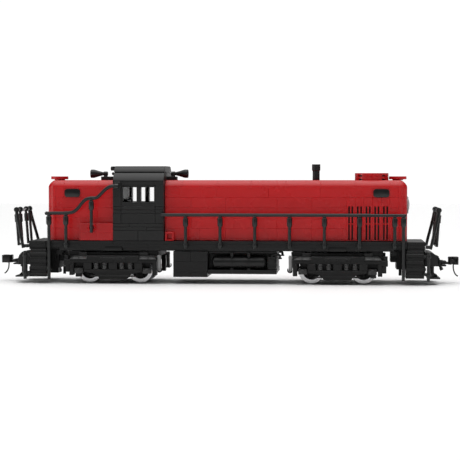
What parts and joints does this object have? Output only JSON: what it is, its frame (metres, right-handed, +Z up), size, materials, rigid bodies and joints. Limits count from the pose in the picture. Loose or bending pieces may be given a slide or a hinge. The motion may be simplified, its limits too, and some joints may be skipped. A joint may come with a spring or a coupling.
{
  "type": "model diesel locomotive",
  "caption": "Brick-built model diesel road switcher with red hoods, a black cab, swinging bogies, turning wheelsets and working knuckle couplers.",
  "frame": {"origin": "midway between the two bogies, at rail level, on the centreline", "axes": "+X along the locomotive towards the long-hood end, +Y across, +Z up from the rail"},
  "size_m": [0.433, 0.077, 0.1112],
  "materials": {
    "red_plastic": "satin moulded",
    "black_plastic": "satin moulded",
    "roof_plastic": "satin moulded",
    "wheel_plastic": "satin moulded",
    "grey_plastic": "satin moulded",
    "clear_plastic": "clear",
    "steel": "drawn"
  },
  "bodies": {
    "frame": {"air_tank_left": "black_plastic", "air_tank_right": "black_plastic", "air_tank_tray": "black_plastic", "battery_pack": "roof_plastic", "cab_body": "black_plastic", "cab_roof": "roof_plastic", "cab_window_left": "clear_plastic", "cab_window_right": "clear_plastic", "control_stand": "grey_plastic", "exhaust_stack": "black_plastic", "fan_housing": "red_plastic", "front_handrail_left": "black_plastic", "front_handrail_right": "black_plastic", "front_headlight": "grey_plastic", "front_horn": "black_plastic", "front_platform": "black_plastic", "front_railing": "black_plastic", "front_steps_left": "black_plastic", "front_steps_right": "black_plastic", "front_vent_cap": "red_plastic", "fuel_tank": "black_plastic", "long_hood": "red_plastic", "rear_handrail_left": "black_plastic", "rear_handrail_right": "black_plastic", "rear_headlight": "grey_plastic", "rear_horn": "black_plastic", "rear_platform": "black_plastic", "rear_railing": "black_plastic", "rear_steps_left": "black_plastic", "rear_steps_right": "black_plastic", "rear_vent_cap": "red_plastic", "short_hood": "red_plastic", "side_box_left": "red_plastic", "side_box_right": "red_plastic", "underframe": "black_plastic"},
    "front_bogie": {"front_bogie_frame": "black_plastic", "front_side_frame_left": "black_plastic", "front_side_frame_right": "black_plastic"},
    "front_wheelset_1": {"front_axle_1": "steel", "front_wheel_1_left": "wheel_plastic", "front_wheel_1_right": "wheel_plastic"},
    "front_wheelset_2": {"front_axle_2": "steel", "front_wheel_2_left": "wheel_plastic", "front_wheel_2_right": "wheel_plastic"},
    "front_coupler": {"front_coupler": "black_plastic"},
    "front_knuckle": {"front_knuckle": "black_plastic"},
    "rear_bogie": {"rear_bogie_frame": "black_plastic", "rear_side_frame_left": "black_plastic", "rear_side_frame_right": "black_plastic", "drive_motor": "steel"},
    "rear_wheelset_1": {"rear_axle_1": "steel", "rear_wheel_1_left": "wheel_plastic", "rear_wheel_1_right": "wheel_plastic"},
    "rear_wheelset_2": {"rear_axle_2": "steel", "rear_wheel_2_left": "wheel_plastic", "rear_wheel_2_right": "wheel_plastic", "axle_gear": "grey_plastic"},
    "rear_coupler": {"rear_coupler": "black_plastic"},
    "rear_knuckle": {"rear_knuckle": "black_plastic"},
    "motor_pinion": {"motor_pinion": "grey_plastic"}
  },
  "joints": [
    {"name": "front_bogie_swing", "type": "hinge", "parent": "frame", "child": "front_bogie", "pos_m": [-0.104, 0, 0.029], "axis": [0, 0, 1], "range_deg": [-15, 15]},
    {"name": "front_wheelset_1_spin", "type": "hinge", "parent": "front_bogie", "child": "front_wheelset_1", "pos_m": [-0.128, 0, 0.012], "axis": [0, 1, 0], "continuous": true},
    {"name": "front_wheelset_2_spin", "type": "hinge", "parent": "front_bogie", "child": "front_wheelset_2", "pos_m": [-0.08, 0, 0.012], "axis": [0, 1, 0], "continuous": true},
    {"name": "front_coupler_swing", "type": "hinge", "parent": "frame", "child": "front_coupler", "pos_m": [-0.2005, 0, 0.019], "axis": [0, 0, 1], "range_deg": [-15, 15]},
    {"name": "front_knuckle_open", "type": "hinge", "parent": "front_coupler", "child": "front_knuckle", "pos_m": [-0.2122, 0.0034, 0.021], "axis": [0, 0, 1], "range_deg": [-35, 0]},
    {"name": "rear_bogie_swing", "type": "hinge", "parent": "frame", "child": "rear_bogie", "pos_m": [0.104, 0, 0.029], "axis": [0, 0, 1], "range_deg": [-15, 15]},
    {"name": "rear_wheelset_1_spin", "type": "hinge", "parent": "rear_bogie", "child": "rear_wheelset_1", "pos_m": [0.08, 0, 0.012], "axis": [0, 1, 0], "continuous": true},
    {"name": "rear_wheelset_2_spin", "type": "hinge", "parent": "rear_bogie", "child": "rear_wheelset_2", "pos_m": [0.128, 0, 0.012], "axis": [0, 1, 0], "continuous": true},
    {"name": "rear_coupler_swing", "type": "hinge", "parent": "frame", "child": "rear_coupler", "pos_m": [0.2005, 0, 0.019], "axis": [0, 0, 1], "range_deg": [-15, 15]},
    {"name": "rear_knuckle_open", "type": "hinge", "parent": "rear_coupler", "child": "rear_knuckle", "pos_m": [0.2122, -0.0034, 0.021], "axis": [0, 0, 1], "range_deg": [-35, 0]},
    {"name": "motor_pinion_spin", "type": "hinge", "parent": "rear_bogie", "child": "motor_pinion", "pos_m": [0.116, 0, 0.012], "axis": [0, 1, 0], "continuous": true}
  ],
  "couplings": [
    {"joint": "motor_pinion_spin", "follows": "rear_wheelset_2_spin", "ratio": -2}
  ]
}
